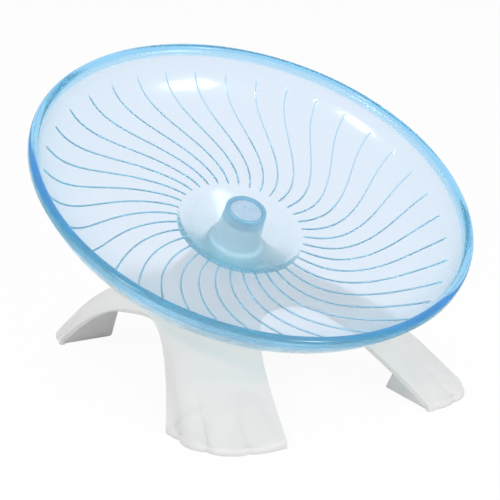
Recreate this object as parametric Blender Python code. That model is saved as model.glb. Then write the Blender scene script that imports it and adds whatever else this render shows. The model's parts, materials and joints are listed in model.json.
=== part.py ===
"""Tilted running dish for a small pet, turning on a four-legged moulded stand.

Metres, +Z up. The origin is on the ground, under the middle of the whole
wheel. +X points downhill, the way the dish leans, and +Y across the slope.
The dish and all that is on its axle are modelled upright, about the Z axis
of one empty, which sits on the column's top and leans downhill.
"""

import math

import bmesh
import bpy
from mathutils import Matrix, Vector

# Placing of the axle
AXLE_TILT = math.radians(30.0)
COLUMN_TOP_HEIGHT = 0.0474
COLUMN_TOP_UPHILL = 0.0058
SEAT_GAP = 0.0003

# Running dish
RIM_RADIUS = 0.0897
BOWL_DEPTH = 0.0264
DISH_WALL = 0.0016
FLOOR_RADIUS = 0.0360
LIP_WIDTH = 0.0036
LIP_HEIGHT = 0.0036
LIP_OVERHANG = 0.0022
BOWL_CURVE_SHARES = (0.526, 1.0, 0.51)
BOWL_STEPS = 9

# Ribs on the dish's floor
RIB_COUNT = 36
RIB_START_RADIUS = 0.0260
RIB_START_ANGLE = math.radians(4.65)
RIB_SWEEP = math.radians(26.2)
RIB_END_SHARE = 0.865
RIB_WIDTH = 0.0011
RIB_HEIGHT = 0.0007

# Well and hub tube in the middle of the dish
WELL_DEPTH = 0.0094
WELL_RADIUS = 0.0252
WELL_CURVE_SHARES = (0.62, 0.45, 1.0)
WELL_STEPS = 6
HUB_RISE = 0.0091
HUB_TOP_RADIUS = 0.0084
HUB_BASE_RADIUS = 0.0096
HUB_EDGE = 0.0004
WELL_FLOOR_WIDTH = 0.0028

# Ball bearing
BEARING_RADIUS = 0.0065
BEARING_BORE_RADIUS = 0.0022
BEARING_HEIGHT = 0.0050
RACE_WALL = 0.0012
BALL_RADIUS = 0.0010
BALL_COUNT = 7
CAGE_THICKNESS = 0.0009
CAGE_FOOT = 0.0006
BEARING_EDGE = 0.0002

# Axle stack
AXLE_CLEARANCE = 0.0003
THRUST_WASHER_THICKNESS = 0.0006
THRUST_WASHER_RADIUS = 0.0105
SLEEVE_WALL = 0.0012
KEEPER_LIP = 0.0004
WASHER_THICKNESS = 0.0008
NUT_WASHER_RADIUS = 0.0038
BOLT_WASHER_RADIUS = 0.0045
NUT_WIDTH = 0.0070
NUT_HEIGHT = 0.0032
NUT_ROOM = 0.0006
BOLT_HEAD_RADIUS = 0.0038
BOLT_HEAD_HEIGHT = 0.0024
BOLT_SOCKET_WIDTH = 0.0025
BOLT_SOCKET_DEPTH = 0.0012
BOLT_END = 0.0004
BOLT_HEAD_ROUNDING_SHARES = (0.8, 0.4)

# Hub cap
CAP_RECESS = 0.0009
CAP_THICKNESS = 0.0010
CAP_EDGE = 0.0002
CAP_LEDGE = 0.0021

# Stand: column and skin
COLUMN_RADIUS = 0.0130
SKIN = 0.0021
BOSS_RADIUS = 0.0060
BOSS_LENGTH = 0.0100
FLARE_POWER = 1.35
FLARE_SHARES = (0.0, 0.12, 0.30, 0.52, 0.76)

# Stand: arches, each from its crown to the foot that it ends in
END_ARCH_REACH = 0.0323
END_ARCH_DROP = 0.0159
END_ARCH_HEIGHT = COLUMN_TOP_HEIGHT - END_ARCH_DROP
SIDE_ARCH_REACH = 0.0426
SIDE_ARCH_DROP = 0.0214
SIDE_ARCH_HEIGHT = COLUMN_TOP_HEIGHT - SIDE_ARCH_DROP
DOWNHILL_END_POWERS = (2.60, 2.65)
UPHILL_END_POWERS = (3.20, 4.00)
DOWNHILL_SIDE_POWERS = (1.00, 1.57, 1.55)
UPHILL_SIDE_POWERS = (1.05, 1.35, 2.15)
LEG_SHARES = (0.0, 0.13, 0.27, 0.41, 0.54, 0.66, 0.77, 0.87, 0.95, 1.0)
LEG_CROWN = 0.0030
EDGE_RISE = 0.0009

# Stand: feet
DOWNHILL_HALF_LENGTH = 0.0850
UPHILL_HALF_LENGTH = 0.0804
DOWNHILL_HALF_WIDTH = 0.0618
UPHILL_HALF_WIDTH = 0.0580
FOOT_CORNER_RADIUS = 0.0236
FOOT_END_EDGE = 0.0315
DOWNHILL_SIDE_LENGTH = 0.0099
UPHILL_SIDE_LENGTH = 0.0008
DOWNHILL_SIDE_EDGE = DOWNHILL_HALF_LENGTH - FOOT_CORNER_RADIUS - DOWNHILL_SIDE_LENGTH
UPHILL_SIDE_EDGE = UPHILL_HALF_LENGTH - FOOT_CORNER_RADIUS - UPHILL_SIDE_LENGTH
TOE_HEIGHT = 0.0026
TOE_ROUNDING = 0.0012
TOE_ROUNDING_POWER = 6
TOE_SHARES = (0.273, 0.600, 0.867)
TOE_COLUMN_SHARES = (0.0, 0.13, 0.5, 0.87)
NOTCH_DEPTH = 0.0015
NOTCH_WIDTH = 0.0018
GROOVE_DEPTH = 0.0014
GROOVE_START_SHARE = 0.45

# Stand: webs under the feet
WEB_WALL = 0.0020
WEB_HEEL_X = 0.0554
WEB_HEEL_Y = 0.0329
WEB_HEEL_RADIUS = 0.0028
WEB_INSET = 0.0011
WEB_EDGE_INSET = 0.0005
WEB_REACH = 0.0300
RIB_START = 0.0022
RIB_TOE_SHARES = (0.31, 0.64)
RIB_PARTING_SHARE = 1.2

# Overrun of every cut and of every joined piece, and how close matching corners lie
OVERRUN = 0.0030
MERGE_DISTANCE = 0.000001

# Number of sides
HUB_SIDES = 36
RIM_SIDES = 72
SMALL_SIDES = 24
WEB_ROUND_STEPS = 4

# Levels up the axle, from the column's top
DISH_SEAT = SEAT_GAP + THRUST_WASHER_THICKNESS + SEAT_GAP
WELL_FLOOR = DISH_SEAT + DISH_WALL
MAIN_FLOOR = WELL_FLOOR + WELL_DEPTH
RIM_LEVEL = MAIN_FLOOR + BOWL_DEPTH
HUB_TOP = MAIN_FLOOR + HUB_RISE
CAP_TOP = HUB_TOP - CAP_RECESS
CAP_BOTTOM = CAP_TOP - CAP_THICKNESS
CAP_SEAT = CAP_BOTTOM - SEAT_GAP
NUT_TOP = CAP_SEAT - NUT_ROOM
NUT_BOTTOM = NUT_TOP - NUT_HEIGHT
NUT_WASHER_BOTTOM = NUT_BOTTOM - SEAT_GAP - WASHER_THICKNESS
BEARING_TOP = NUT_WASHER_BOTTOM - SEAT_GAP
BEARING_BOTTOM = BEARING_TOP - BEARING_HEIGHT
BEARING_SEAT = BEARING_TOP + SEAT_GAP
SLEEVE_TOP = BEARING_BOTTOM - SEAT_GAP
BOSS_BOTTOM = -BOSS_LENGTH
BOLT_WASHER_TOP = BOSS_BOTTOM - SEAT_GAP
BOLT_WASHER_BOTTOM = BOLT_WASHER_TOP - WASHER_THICKNESS
BOLT_HEAD_TOP = BOLT_WASHER_BOTTOM - SEAT_GAP

# Radii on the axle
BOLT_RADIUS = BEARING_BORE_RADIUS - AXLE_CLEARANCE
POCKET_RADIUS = BEARING_RADIUS + SEAT_GAP
PITCH_RADIUS = (BEARING_BORE_RADIUS + BEARING_RADIUS) / 2
SLEEVE_RADIUS = BEARING_BORE_RADIUS + SLEEVE_WALL
KEEPER_BORE_RADIUS = SLEEVE_RADIUS + AXLE_CLEARANCE
CAP_RADIUS = POCKET_RADIUS - SEAT_GAP
NUT_BORE_RADIUS = CAP_RADIUS - CAP_LEDGE + SEAT_GAP


def clear_scene():
    for old in list(bpy.data.objects):
        bpy.data.objects.remove(old, do_unlink=True)


def make_material(name, colour, roughness, metallic=0.0):
    material = bpy.data.materials.new(name)
    material.use_nodes = True
    shader = material.node_tree.nodes["Principled BSDF"]
    shader.inputs["Base Color"].default_value = (*colour, 1.0)
    shader.inputs["Roughness"].default_value = roughness
    shader.inputs["Metallic"].default_value = metallic
    material.diffuse_color = (*colour, 1.0)
    return material


def make_object(name, bm, material=None, parent=None, sharp_angle=math.radians(35.0)):
    bmesh.ops.recalc_face_normals(bm, faces=bm.faces)
    mesh = bpy.data.meshes.new(name)
    bm.to_mesh(mesh)
    bm.free()
    mesh.shade_smooth()
    mesh.set_sharp_from_angle(angle=sharp_angle)
    piece = bpy.data.objects.new(name, mesh)
    bpy.context.collection.objects.link(piece)
    piece.parent = parent
    if material:
        mesh.materials.append(material)
    return piece


def make_empty(name, location, tilt=0.0):
    empty = bpy.data.objects.new(name, None)
    empty.location = location
    empty.rotation_euler = (0.0, tilt, 0.0)
    bpy.context.collection.objects.link(empty)
    return empty


def hide_cutter(cutter):
    cutter.hide_render = True
    cutter.display_type = "WIRE"


def add_boolean(piece, other, operation):
    hide_cutter(other)
    modifier = piece.modifiers.new(operation.title(), "BOOLEAN")
    modifier.operation = operation
    modifier.solver = "EXACT"
    modifier.object = other


def mix(start, end, share):
    return start + (end - start) * share


def smooth_step(share):
    share = min(max(share, 0.0), 1.0)
    return share * share * (3 - 2 * share)


def curve_points(start, end, shares, steps):
    """Cubic curve that leaves start level and comes up to end, without start."""
    first_share, second_share, rise_share = shares
    points = []
    for step in range(1, steps + 1):
        t = step / steps
        near = 3 * (1 - t) * (1 - t) * t
        far = 3 * (1 - t) * t * t
        across = near * first_share + far * second_share + t ** 3
        up = far * rise_share + t ** 3
        points.append((mix(start[0], end[0], across), mix(start[1], end[1], up)))
    return points


def add_ring(bm, radius, level, angles):
    return [bm.verts.new((radius * math.cos(a), radius * math.sin(a), level)) for a in angles]


def even_angles(count):
    return [2 * math.pi * index / count for index in range(count)]


def join_equal_rings(bm, first, second):
    count = len(first)
    for index in range(count):
        after = (index + 1) % count
        bm.faces.new((first[index], first[after], second[after], second[index]))


def ring_angle(vert):
    return math.atan2(vert.co.y, vert.co.x) % (2 * math.pi)


def join_unlike_rings(bm, first, second):
    """Triangles between two rings with different numbers of corners."""
    first = sorted(first, key=ring_angle)
    second = sorted(second, key=ring_angle)

    def turned(ring, index):
        return ring_angle(ring[index % len(ring)]) + 2 * math.pi * (index // len(ring))

    i = 0
    j = 0
    while i < len(first) or j < len(second):
        a = first[i % len(first)]
        b = second[j % len(second)]
        step_first = j >= len(second) or (i < len(first) and turned(first, i + 1) <= turned(second, j + 1))
        if step_first:
            bm.faces.new((a, first[(i + 1) % len(first)], b))
            i += 1
        else:
            bm.faces.new((a, second[(j + 1) % len(second)], b))
            j += 1


def join_rings(bm, rings, closed=False):
    pairs = list(zip(rings, rings[1:]))
    if closed:
        pairs.append((rings[-1], rings[0]))
    for first, second in pairs:
        if len(first) == len(second):
            join_equal_rings(bm, first, second)
        else:
            join_unlike_rings(bm, first, second)


def turned_piece(name, profile, material, parent, sides=SMALL_SIDES):
    """Turned solid with a hole through it: the profile is a closed outline."""
    bm = bmesh.new()
    rings = [add_ring(bm, radius, level, even_angles(sides)) for radius, level in profile]
    join_rings(bm, rings, closed=True)
    return make_object(name, bm, material, parent)


def solid_turned_piece(name, profile, material, parent, sides=SMALL_SIDES):
    """Turned solid without a hole: the profile runs from the top to the bottom."""
    bm = bmesh.new()
    rings = [add_ring(bm, radius, level, even_angles(sides)) for radius, level in profile]
    join_rings(bm, rings)
    bm.faces.new(rings[0])
    bm.faces.new(rings[-1])
    return make_object(name, bm, material, parent)


def plain_ring(name, inner, outer, bottom, top, material, parent, sides=SMALL_SIDES):
    profile = ((inner, bottom), (outer, bottom), (outer, top), (inner, top))
    return turned_piece(name, profile, material, parent, sides)


# Running dish

def bowl_profile(offset):
    """Inside of the bowl from the edge of its floor to the lip, moved outwards by offset."""
    wall_radius = RIM_RADIUS - LIP_WIDTH
    floor_edge = (FLOOR_RADIUS, MAIN_FLOOR - offset)
    lip_foot = (wall_radius + offset, RIM_LEVEL - offset)
    return curve_points(floor_edge, lip_foot, BOWL_CURVE_SHARES, BOWL_STEPS)


def rib_angle(radius, end_radius):
    share = (radius - RIB_START_RADIUS) / (end_radius - RIB_START_RADIUS)
    return RIB_START_ANGLE + RIB_SWEEP * smooth_step(share)


def add_rib_ring(bm, radius, level, end_radius, height):
    """One ring across the ribs: two feet and a crest for each rib, and a point between ribs."""
    pitch = 2 * math.pi / RIB_COUNT
    start = rib_angle(radius, end_radius)
    half = RIB_WIDTH / 2 / radius
    ring = []
    for index in range(RIB_COUNT):
        centre = start + pitch * index
        for turn, rise in ((-half, 0.0), (0.0, height), (half, 0.0), (pitch / 2, 0.0)):
            ring.extend(add_ring(bm, radius, level + rise, (centre + turn,)))
    return ring


def add_ribbed_floor(bm):
    """Rings from where the ribs start to where they end."""
    curve = bowl_profile(0.0)
    end_radius = mix(FLOOR_RADIUS, RIM_RADIUS, RIB_END_SHARE)
    flat = [(RIB_START_RADIUS, MAIN_FLOOR), (mix(RIB_START_RADIUS, FLOOR_RADIUS, 0.5), MAIN_FLOOR)]
    flat.append((FLOOR_RADIUS, MAIN_FLOOR))
    points = flat + [point for point in curve if point[0] < end_radius]
    rings = []
    for index, (radius, level) in enumerate(points):
        height = 0.0 if index in (0, len(points) - 1) else RIB_HEIGHT
        rings.append(add_rib_ring(bm, radius, level, points[-1][0], height))
    return rings, points[-1][0]


def lip_profile():
    """Over the rolled lip, from the inside of the wall round to its outside."""
    inner = RIM_RADIUS - LIP_WIDTH
    middle = RIM_RADIUS - LIP_WIDTH / 2
    crown = LIP_HEIGHT - LIP_OVERHANG
    points = []
    steps = 6
    for step in range(1, steps):
        angle = math.pi * (1 - step / steps)
        points.append((middle + math.cos(angle) * LIP_WIDTH / 2, RIM_LEVEL + math.sin(angle) * crown))
    points.append((RIM_RADIUS, RIM_LEVEL))
    points.append((RIM_RADIUS, RIM_LEVEL - LIP_OVERHANG))
    points.append((mix(inner + DISH_WALL, RIM_RADIUS, 0.5), RIM_LEVEL - LIP_HEIGHT))
    return points


def build_dish(material, parent):
    bm = bmesh.new()
    hub_angles = even_angles(HUB_SIDES)
    rim_angles = even_angles(RIM_SIDES)
    well_edge = HUB_BASE_RADIUS + WELL_FLOOR_WIDTH
    inner_well = curve_points((well_edge, WELL_FLOOR), (WELL_RADIUS, MAIN_FLOOR),
                              WELL_CURVE_SHARES, WELL_STEPS)
    outer_well = curve_points((well_edge, DISH_SEAT), (WELL_RADIUS + DISH_WALL, MAIN_FLOOR - DISH_WALL),
                              WELL_CURVE_SHARES, WELL_STEPS)
    hub = [(POCKET_RADIUS, DISH_SEAT), (POCKET_RADIUS, BEARING_SEAT), (NUT_BORE_RADIUS, BEARING_SEAT),
           (NUT_BORE_RADIUS, CAP_SEAT), (POCKET_RADIUS, CAP_SEAT), (POCKET_RADIUS, HUB_TOP - HUB_EDGE),
           (POCKET_RADIUS + HUB_EDGE, HUB_TOP), (HUB_TOP_RADIUS - HUB_EDGE, HUB_TOP),
           (HUB_TOP_RADIUS, HUB_TOP - HUB_EDGE), (HUB_BASE_RADIUS, WELL_FLOOR), (well_edge, WELL_FLOOR)]
    rings = [add_ring(bm, radius, level, hub_angles) for radius, level in hub + inner_well]
    rib_rings, rib_end = add_ribbed_floor(bm)
    rings.extend(rib_rings)
    wall = [point for point in bowl_profile(0.0) if point[0] > rib_end]
    under = [point for point in reversed(bowl_profile(DISH_WALL)) if point[1] < RIM_LEVEL - LIP_HEIGHT]
    under.append((FLOOR_RADIUS, MAIN_FLOOR - DISH_WALL))
    rings.extend(add_ring(bm, radius, level, rim_angles) for radius, level in wall + lip_profile() + under)
    well_under = list(reversed(outer_well)) + [(well_edge, DISH_SEAT)]
    rings.extend(add_ring(bm, radius, level, hub_angles) for radius, level in well_under)
    join_rings(bm, rings, closed=True)
    return make_object("running_dish", bm, material, parent)


def build_hub_cap(material, parent):
    profile = ((CAP_RADIUS - CAP_EDGE, CAP_TOP), (CAP_RADIUS, CAP_TOP - CAP_EDGE), (CAP_RADIUS, CAP_BOTTOM))
    return solid_turned_piece("hub_cap", profile, material, parent, HUB_SIDES)


# Bearing

def groove(start_angle, steps=4):
    """Half turn of the ball groove, seen in section, about the ball's centre."""
    radius = BALL_RADIUS + SEAT_GAP
    middle = BEARING_TOP - BEARING_HEIGHT / 2
    reach = PITCH_RADIUS - BEARING_BORE_RADIUS - RACE_WALL
    half_turn = math.acos(reach / radius)
    points = []
    for step in range(steps + 1):
        angle = start_angle + mix(-half_turn, half_turn, step / steps)
        points.append((PITCH_RADIUS + radius * math.cos(angle), middle + radius * math.sin(angle)))
    return points


def build_bearing(steel, plastic, outer_parent, cage_parent, inner_parent):
    low = BEARING_BOTTOM
    top = BEARING_TOP
    inner_race = BEARING_BORE_RADIUS + RACE_WALL
    outer_race = BEARING_RADIUS - RACE_WALL
    inner = [(inner_race, top), (BEARING_BORE_RADIUS, top), (BEARING_BORE_RADIUS, low), (inner_race, low)]
    inner += reversed(groove(math.pi))
    turned_piece("bearing_inner_ring", inner, steel, inner_parent)
    edge = BEARING_RADIUS - BEARING_EDGE
    outer = [(outer_race, low), (edge, low), (BEARING_RADIUS, low + BEARING_EDGE)]
    outer += [(BEARING_RADIUS, top - BEARING_EDGE), (edge, top), (outer_race, top)]
    outer += reversed(groove(0.0))
    turned_piece("bearing_outer_ring", outer, steel, outer_parent)
    build_cage(plastic, cage_parent)
    for index in range(BALL_COUNT):
        build_ball(index, steel, cage_parent)


def ball_centre(index):
    angle = 2 * math.pi * index / BALL_COUNT
    level = BEARING_TOP - BEARING_HEIGHT / 2
    return Vector((PITCH_RADIUS * math.cos(angle), PITCH_RADIUS * math.sin(angle), level))


def build_ball(index, material, parent):
    bm = bmesh.new()
    bmesh.ops.create_icosphere(bm, subdivisions=2, radius=BALL_RADIUS)
    ball = make_object(f"bearing_ball_{index + 1}", bm, material, parent, math.pi)
    ball.location = ball_centre(index)


def build_cage(material, parent):
    """Ring with a round window for each ball, open at the top, as crown cages are."""
    middle = BEARING_TOP - BEARING_HEIGHT / 2
    window = BALL_RADIUS + SEAT_GAP
    inner = PITCH_RADIUS - CAGE_THICKNESS / 2
    outer = PITCH_RADIUS + CAGE_THICKNESS / 2
    cage = plain_ring("bearing_cage", inner, outer, middle - window - CAGE_FOOT, middle + BALL_RADIUS / 2,
                      material, parent, BALL_COUNT * 6)
    bm = bmesh.new()
    for index in range(BALL_COUNT):
        centre = ball_centre(index)
        turn = Vector((centre.x, centre.y, 0.0)).to_track_quat("Z", "Y").to_matrix().to_4x4()
        bmesh.ops.create_cone(bm, cap_ends=True, segments=12, radius1=window, radius2=window,
                              depth=CAGE_THICKNESS * 2, matrix=Matrix.Translation(centre) @ turn)
    cutter = make_object("cage_windows", bm, None, parent)
    add_boolean(cage, cutter, "DIFFERENCE")


# Axle stack

def build_axle(steel, plastic, fixed_parent, dish_parent):
    plain_ring("thrust_washer", SLEEVE_RADIUS + SEAT_GAP, THRUST_WASHER_RADIUS, SEAT_GAP,
               SEAT_GAP + THRUST_WASHER_THICKNESS, plastic, fixed_parent)
    plain_ring("spacer_sleeve", BEARING_BORE_RADIUS, SLEEVE_RADIUS, SEAT_GAP, SLEEVE_TOP, steel, fixed_parent)
    plain_ring("nut_washer", BEARING_BORE_RADIUS, NUT_WASHER_RADIUS, NUT_WASHER_BOTTOM,
               NUT_WASHER_BOTTOM + WASHER_THICKNESS, steel, fixed_parent)
    plain_ring("spindle_washer", BEARING_BORE_RADIUS, BOLT_WASHER_RADIUS, BOLT_WASHER_BOTTOM, BOLT_WASHER_TOP,
               steel, fixed_parent)
    keeper_bottom = DISH_SEAT + KEEPER_LIP
    plain_ring("bearing_keeper", KEEPER_BORE_RADIUS, BEARING_RADIUS, keeper_bottom, BEARING_BOTTOM - SEAT_GAP,
               plastic, dish_parent)
    build_bolt(steel, fixed_parent)
    build_nut(steel, fixed_parent)


def hexagon(bm, width, bottom, top):
    corner = width / 2 / math.cos(math.pi / 6)
    lower = add_ring(bm, corner, bottom, even_angles(6))
    upper = add_ring(bm, corner, top, even_angles(6))
    join_rings(bm, (lower, upper))
    bm.faces.new(lower)
    bm.faces.new(upper)


def build_bolt(material, parent):
    head_low = BOLT_HEAD_TOP - BOLT_HEAD_HEIGHT
    radius_share, height_share = BOLT_HEAD_ROUNDING_SHARES
    profile = ((BOLT_RADIUS - BOLT_END, NUT_TOP), (BOLT_RADIUS, NUT_TOP - BOLT_END),
               (BOLT_RADIUS, BOLT_HEAD_TOP), (BOLT_HEAD_RADIUS, BOLT_HEAD_TOP),
               (BOLT_HEAD_RADIUS, mix(head_low, BOLT_HEAD_TOP, height_share)),
               (BOLT_HEAD_RADIUS * radius_share, head_low))
    bolt = solid_turned_piece("spindle_bolt", profile, material, parent)
    bm = bmesh.new()
    hexagon(bm, BOLT_SOCKET_WIDTH, head_low - OVERRUN, head_low + BOLT_SOCKET_DEPTH)
    add_boolean(bolt, make_object("bolt_socket", bm, None, parent), "DIFFERENCE")


def build_nut(material, parent):
    bm = bmesh.new()
    hexagon(bm, NUT_WIDTH, NUT_BOTTOM, NUT_TOP)
    nut = make_object("lock_nut", bm, material, parent)
    bm = bmesh.new()
    rings = [add_ring(bm, BEARING_BORE_RADIUS, level, even_angles(SMALL_SIDES))
             for level in (NUT_BOTTOM - OVERRUN, NUT_TOP + OVERRUN)]
    join_rings(bm, rings)
    bm.faces.new(rings[0])
    bm.faces.new(rings[1])
    add_boolean(nut, make_object("nut_bore", bm, None, parent), "DIFFERENCE")


# Stand

def toe_columns():
    """Places across a leg, closer together at the notches between the toes."""
    ends = (0.0, *TOE_SHARES, 1.0)
    columns = [mix(low, high, share) for low, high in zip(ends, ends[1:]) for share in TOE_COLUMN_SHARES]
    return columns + [1.0]


def foot_size(side):
    """Half length and width of the stand at a foot, and where its side begins: 1 is downhill, -1 uphill."""
    if side > 0:
        return DOWNHILL_HALF_LENGTH, DOWNHILL_HALF_WIDTH, DOWNHILL_SIDE_EDGE
    return UPHILL_HALF_LENGTH, UPHILL_HALF_WIDTH, UPHILL_SIDE_EDGE


def toe_outline(share, inset, side):
    """Point on the foot's outer edge: a straight end, a round corner and a straight side."""
    half_length, half_width, side_edge = foot_size(side)
    radius = FOOT_CORNER_RADIUS
    end_run = half_width - radius - FOOT_END_EDGE
    side_run = half_length - radius - side_edge
    arc_run = radius * math.pi / 2
    along = share * (end_run + arc_run + side_run)
    turn = min(max((along - end_run) / arc_run, 0.0), 1.0) * math.pi / 2
    x = half_length - radius + (radius - inset) * math.cos(turn)
    y = half_width - radius + (radius - inset) * math.sin(turn)
    y -= max(end_run - along, 0.0)
    x -= max(along - end_run - arc_run, 0.0)
    return x, y


def notch(share):
    """How deep in a notch a place across the foot is, from 0 to 1."""
    width_share = NOTCH_WIDTH / (FOOT_CORNER_RADIUS * math.pi / 2)
    return sum(math.exp(-((share - place) / width_share) ** 2) for place in TOE_SHARES)


def end_arch(t, side):
    along_power, down_power = DOWNHILL_END_POWERS if side > 0 else UPHILL_END_POWERS
    half_length, _, _ = foot_size(side)
    x = mix(END_ARCH_REACH, half_length, t ** along_power)
    z = END_ARCH_HEIGHT * (1 - t ** down_power)
    return Vector((x, FOOT_END_EDGE * t, z + mix(EDGE_RISE, TOE_HEIGHT, t)))


def side_arch(t, side):
    _, half_width, side_edge = foot_size(side)
    along_power, across_power, down_power = DOWNHILL_SIDE_POWERS if side > 0 else UPHILL_SIDE_POWERS
    x = side_edge * t ** along_power
    y = mix(SIDE_ARCH_REACH, half_width, t ** across_power)
    z = SIDE_ARCH_HEIGHT * (1 - t ** down_power)
    return Vector((x, y, z + mix(EDGE_RISE, TOE_HEIGHT, t)))


def shoulder_point(share):
    """Top of the skin where the column meets the four legs."""
    angle = share * math.pi / 2
    ends = mix(END_ARCH_HEIGHT, SIDE_ARCH_HEIGHT, share) + EDGE_RISE
    height = ends + LEG_CROWN * (4 * share * (1 - share)) ** 2
    return Vector((END_ARCH_REACH * math.cos(angle), SIDE_ARCH_REACH * math.sin(angle), height))


def column_point(share, side):
    """Edge of the column's leaning top: side is 1 on the downhill half and -1 on the uphill half."""
    angle = share * math.pi / 2
    along = COLUMN_RADIUS * math.cos(angle) * side
    x = along * math.cos(AXLE_TILT) - COLUMN_TOP_UPHILL
    z = COLUMN_TOP_HEIGHT - along * math.sin(AXLE_TILT)
    return Vector((x * side, COLUMN_RADIUS * math.sin(angle), z))


def flare_point(share, down, side):
    top = column_point(share, side)
    foot = shoulder_point(share)
    point = top.lerp(foot, down)
    point.z = mix(foot.z, top.z, (1 - down) ** FLARE_POWER)
    return point


def leg_point(share, t, side):
    """Top of a leg: share goes across it and t runs from the shoulder down to the toes."""
    across = end_arch(t, side).lerp(side_arch(t, side), share)
    shoulder = shoulder_point(share) - end_arch(0.0, side).lerp(side_arch(0.0, side), share)
    edge = Vector((*toe_outline(share, 0.0, side), TOE_HEIGHT))
    toe = edge - end_arch(1.0, side).lerp(side_arch(1.0, side), share)
    point = across + shoulder * (1 - t) + toe * t
    fade = smooth_step((t - GROOVE_START_SHARE) / (1 - GROOVE_START_SHARE))
    rounding = TOE_ROUNDING * (1 - abs(2 * share - 1) ** TOE_ROUNDING_POWER)
    inset = rounding + NOTCH_DEPTH * notch(share)
    point += (Vector((*toe_outline(share, inset, side), TOE_HEIGHT)) - edge) * fade
    point.z -= GROOVE_DEPTH * notch(share) * fade
    return point


def quarter_rows(side):
    """Rows of points from the column's top to the toes, for one quarter of the stand."""
    columns = toe_columns()
    rows = [[flare_point(share, down, side) for share in columns] for down in FLARE_SHARES]
    rows += [[leg_point(share, t, side) for share in columns] for t in LEG_SHARES]
    return rows


def nose_rows(side):
    """The toes' upright front, on past the ground."""
    edge = [toe_outline(share, NOTCH_DEPTH * notch(share), side) for share in toe_columns()]
    return [[Vector((x, y, level)) for x, y in edge] for level in (TOE_HEIGHT / 2, -OVERRUN)]


def stand_sheet(with_noses):
    """Upper surface of the stand as one open sheet of four mirrored quarters."""
    bm = bmesh.new()
    for side_x in (1, -1):
        for side_y in (1, -1):
            rows = quarter_rows(side_x)
            if with_noses:
                rows += nose_rows(side_x)
            grid = [[bm.verts.new((p.x * side_x, p.y * side_y, p.z)) for p in row] for row in rows]
            for upper, lower in zip(grid, grid[1:]):
                for i in range(len(upper) - 1):
                    bm.faces.new((upper[i], upper[i + 1], lower[i + 1], lower[i]))
    bmesh.ops.remove_doubles(bm, verts=bm.verts, dist=MERGE_DISTANCE)
    open_edges = [edge for edge in bm.edges if edge.is_boundary]
    limit = COLUMN_RADIUS + COLUMN_TOP_UPHILL
    top_edges = [edge for edge in open_edges if all(v.co.xy.length < limit for v in edge.verts)]
    bmesh.ops.edgeloop_fill(bm, edges=top_edges)
    bmesh.ops.recalc_face_normals(bm, faces=bm.faces)
    return bm


def upward(bm):
    """Turn the sheet's faces so that they look up."""
    top = max(bm.faces, key=lambda face: face.calc_center_median().z)
    if top.normal.z < 0:
        bmesh.ops.reverse_faces(bm, faces=bm.faces)


def web_outline(side):
    """Plan of the bent wall under one foot: its heel is rounded, and its ends sink into the toes."""
    half_length, half_width, side_edge = foot_size(side)
    near = Vector((half_length - WEB_INSET, FOOT_END_EDGE + WEB_EDGE_INSET))
    far = Vector((side_edge + WEB_EDGE_INSET, half_width - WEB_INSET))
    heel = Vector((WEB_HEEL_X, WEB_HEEL_Y))
    to_near = (near - heel).normalized()
    to_far = (far - heel).normalized()
    half = to_near.angle(to_far) / 2
    middle = (to_near + to_far).normalized()
    centre = heel + middle * (WEB_HEEL_RADIUS / math.sin(half))
    start_angle = math.atan2(-to_near.x, to_near.y)
    sweep = 2 * half - math.pi
    outer = [near]
    inner = [near + (far - near).normalized() * WEB_WALL]
    for step in range(WEB_ROUND_STEPS + 1):
        angle = start_angle + sweep * step / WEB_ROUND_STEPS
        spoke = Vector((math.cos(angle), math.sin(angle)))
        outer.append(centre + spoke * WEB_HEEL_RADIUS)
        inner.append(centre + spoke * (WEB_HEEL_RADIUS - WEB_WALL))
    outer.append(far)
    inner.append(far + (near - far).normalized() * WEB_WALL)
    return outer, inner


def fork_outline(side):
    """Plan of two straight walls inside one foot, which part at its heel and end in its toes."""
    heel = Vector((WEB_HEEL_X, WEB_HEEL_Y))
    toes = [Vector(toe_outline(share, WEB_INSET, side)) for share in RIB_TOE_SHARES]
    first, second = [(toe - heel).normalized() for toe in toes]
    parting = heel + (first + second).normalized() * RIB_START
    first, second = [(toe - parting).normalized() for toe in toes]
    first_side = Vector((-first.y, first.x)) * WEB_WALL / 2
    second_side = Vector((-second.y, second.x)) * WEB_WALL / 2
    reach = RIB_PARTING_SHARE * WEB_WALL / 2 / math.tan(first.angle(second) / 2)
    outer = [toes[0] - first_side, parting - first_side, parting + second_side, toes[1] + second_side]
    inner = [toes[0] + first_side, parting + first * reach + first_side]
    inner += [parting + second * reach - second_side, toes[1] - second_side]
    return outer, inner


def build_walls(name, plan):
    """Walls under the four feet, drawn along the axle as the mould is."""
    bm = bmesh.new()
    lean = math.tan(AXLE_TILT)
    for side_x in (1, -1):
        outer, inner = plan(side_x)
        for side_y in (1, -1):
            loops = []
            for level in (-OVERRUN, WEB_REACH):
                loops.append([[bm.verts.new((p.x * side_x + lean * level, p.y * side_y, level)) for p in line]
                              for line in (outer, inner)])
            (low_out, low_in), (top_out, top_in) = loops
            for i in range(len(outer) - 1):
                bm.faces.new((low_out[i], low_out[i + 1], top_out[i + 1], top_out[i]))
                bm.faces.new((low_in[i], low_in[i + 1], top_in[i + 1], top_in[i]))
                bm.faces.new((low_out[i], low_out[i + 1], low_in[i + 1], low_in[i]))
                bm.faces.new((top_out[i], top_out[i + 1], top_in[i + 1], top_in[i]))
            for end in (0, -1):
                bm.faces.new((low_out[end], low_in[end], top_in[end], top_out[end]))
    return make_object(name, bm)


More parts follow.
